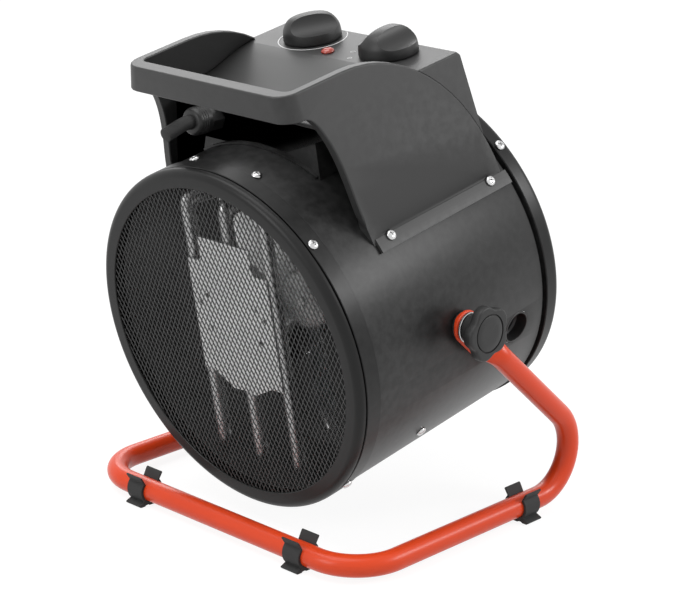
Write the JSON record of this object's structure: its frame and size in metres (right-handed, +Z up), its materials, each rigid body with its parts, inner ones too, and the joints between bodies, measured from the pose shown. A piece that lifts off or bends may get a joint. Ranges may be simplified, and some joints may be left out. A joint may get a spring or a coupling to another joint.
{
  "type": "forced air heater",
  "caption": "Round electric forced air heater: charcoal steel drum with mesh front, carrying hood with control knobs, tilting in an orange-red bent-tube stand on rubber feet.",
  "frame": {"origin": "on the floor under the drum's tilt axis, midway between the pivots", "axes": "+Z up; the air outlet faces -Y; +X is the right side seen from the front; the drum rests nose-down by 10.2 degrees"},
  "size_m": [0.3232, 0.2642, 0.3718],
  "materials": {
    "casing": "satin charcoal powder coat",
    "ring": "satin near-black powder coat",
    "hood": "fine-grained satin charcoal moulding",
    "black_plastic": "fine-grained black moulding",
    "rubber": "matt black rubber",
    "stand_paint": "semi-gloss orange-red powder coat",
    "zinc": "bright zinc plate",
    "aluminium": "bright mill finish",
    "dark_steel": "black coated steel",
    "heater_steel": "pale stainless sheath",
    "lamp_red": "red lamp lens"
  },
  "bodies": {
    "stand": {"stand_tube": "stand_paint", "foot_clip_front_left": "rubber", "foot_clip_front_right": "rubber", "foot_clip_side_left": "rubber", "foot_clip_side_right": "rubber", "pivot_washer_left": "zinc", "pivot_washer_right": "zinc"},
    "heater": {"drum_casing": "casing", "terminal_box": "casing", "front_ring": "ring", "rear_ring": "ring", "hood": "hood", "control_panel": "hood", "gland_nut": "black_plastic", "side_cup_left": "black_plastic", "side_cup_right": "black_plastic", "pivot_spacer_left": "black_plastic", "pivot_spacer_right": "black_plastic", "thermostat_body": "black_plastic", "mode_switch_body": "black_plastic", "gland_body": "black_plastic", "gland_locknut": "black_plastic", "terminal_block": "black_plastic", "cable_sleeve": "rubber", "motor_bracket": "zinc", "casing_screw_left": "zinc", "casing_screw_right": "zinc", "front_ring_screw_1": "zinc", "front_ring_screw_2": "zinc", "front_ring_screw_3": "zinc", "front_ring_screw_4": "zinc", "rear_ring_screw_1": "zinc", "rear_ring_screw_2": "zinc", "rear_ring_screw_3": "zinc", "rear_ring_screw_4": "zinc", "hood_screw_1": "zinc", "hood_screw_2": "zinc", "hood_screw_3": "zinc", "hood_screw_4": "zinc", "element_plate": "aluminium", "thermal_cutout": "aluminium", "front_mesh": "dark_steel", "rear_grille": "dark_steel", "heat_shield": "dark_steel", "motor_body": "dark_steel", "heating_element_left": "heater_steel", "heating_element_centre": "heater_steel", "heating_element_right": "heater_steel", "indicator_lamp": "lamp_red"},
    "fan_wheel": {"fan": "aluminium", "motor_shaft": "zinc"},
    "thermostat_dial": {"thermostat_knob": "black_plastic", "thermostat_shaft": "zinc"},
    "mode_dial": {"mode_switch_knob": "black_plastic", "mode_switch_shaft": "zinc"},
    "clamp_left": {"clamp_knob_left": "black_plastic", "pivot_stud_left": "zinc"},
    "clamp_right": {"clamp_knob_right": "black_plastic", "pivot_stud_right": "zinc"}
  },
  "joints": [
    {"name": "drum_tilt", "type": "hinge", "parent": "stand", "child": "heater", "pos_m": [0, 0, 0.168], "axis": [1, 0, 0], "range_deg": [-28, 8]},
    {"name": "fan_spin", "type": "hinge", "parent": "heater", "child": "fan_wheel", "pos_m": [0, 0, 0.168], "axis": [0, 0.9842, 0.1771], "continuous": true},
    {"name": "thermostat_turn", "type": "hinge", "parent": "heater", "child": "thermostat_dial", "pos_m": [-0.0395, 0.02189, 0.35127], "axis": [0, -0.1771, 0.9842], "range_deg": [-210, 30]},
    {"name": "mode_turn", "type": "hinge", "parent": "heater", "child": "mode_dial", "pos_m": [0.0395, 0.02189, 0.35127], "axis": [0, -0.1771, 0.9842], "range_deg": [-135, 0]},
    {"name": "clamp_left_turn", "type": "hinge", "parent": "heater", "child": "clamp_left", "pos_m": [-0.15, 0, 0.168], "axis": [-1, 0, 0], "range_deg": [0, 350]},
    {"name": "clamp_right_turn", "type": "hinge", "parent": "heater", "child": "clamp_right", "pos_m": [0.15, 0, 0.168], "axis": [1, 0, 0], "range_deg": [0, 350]}
  ]
}
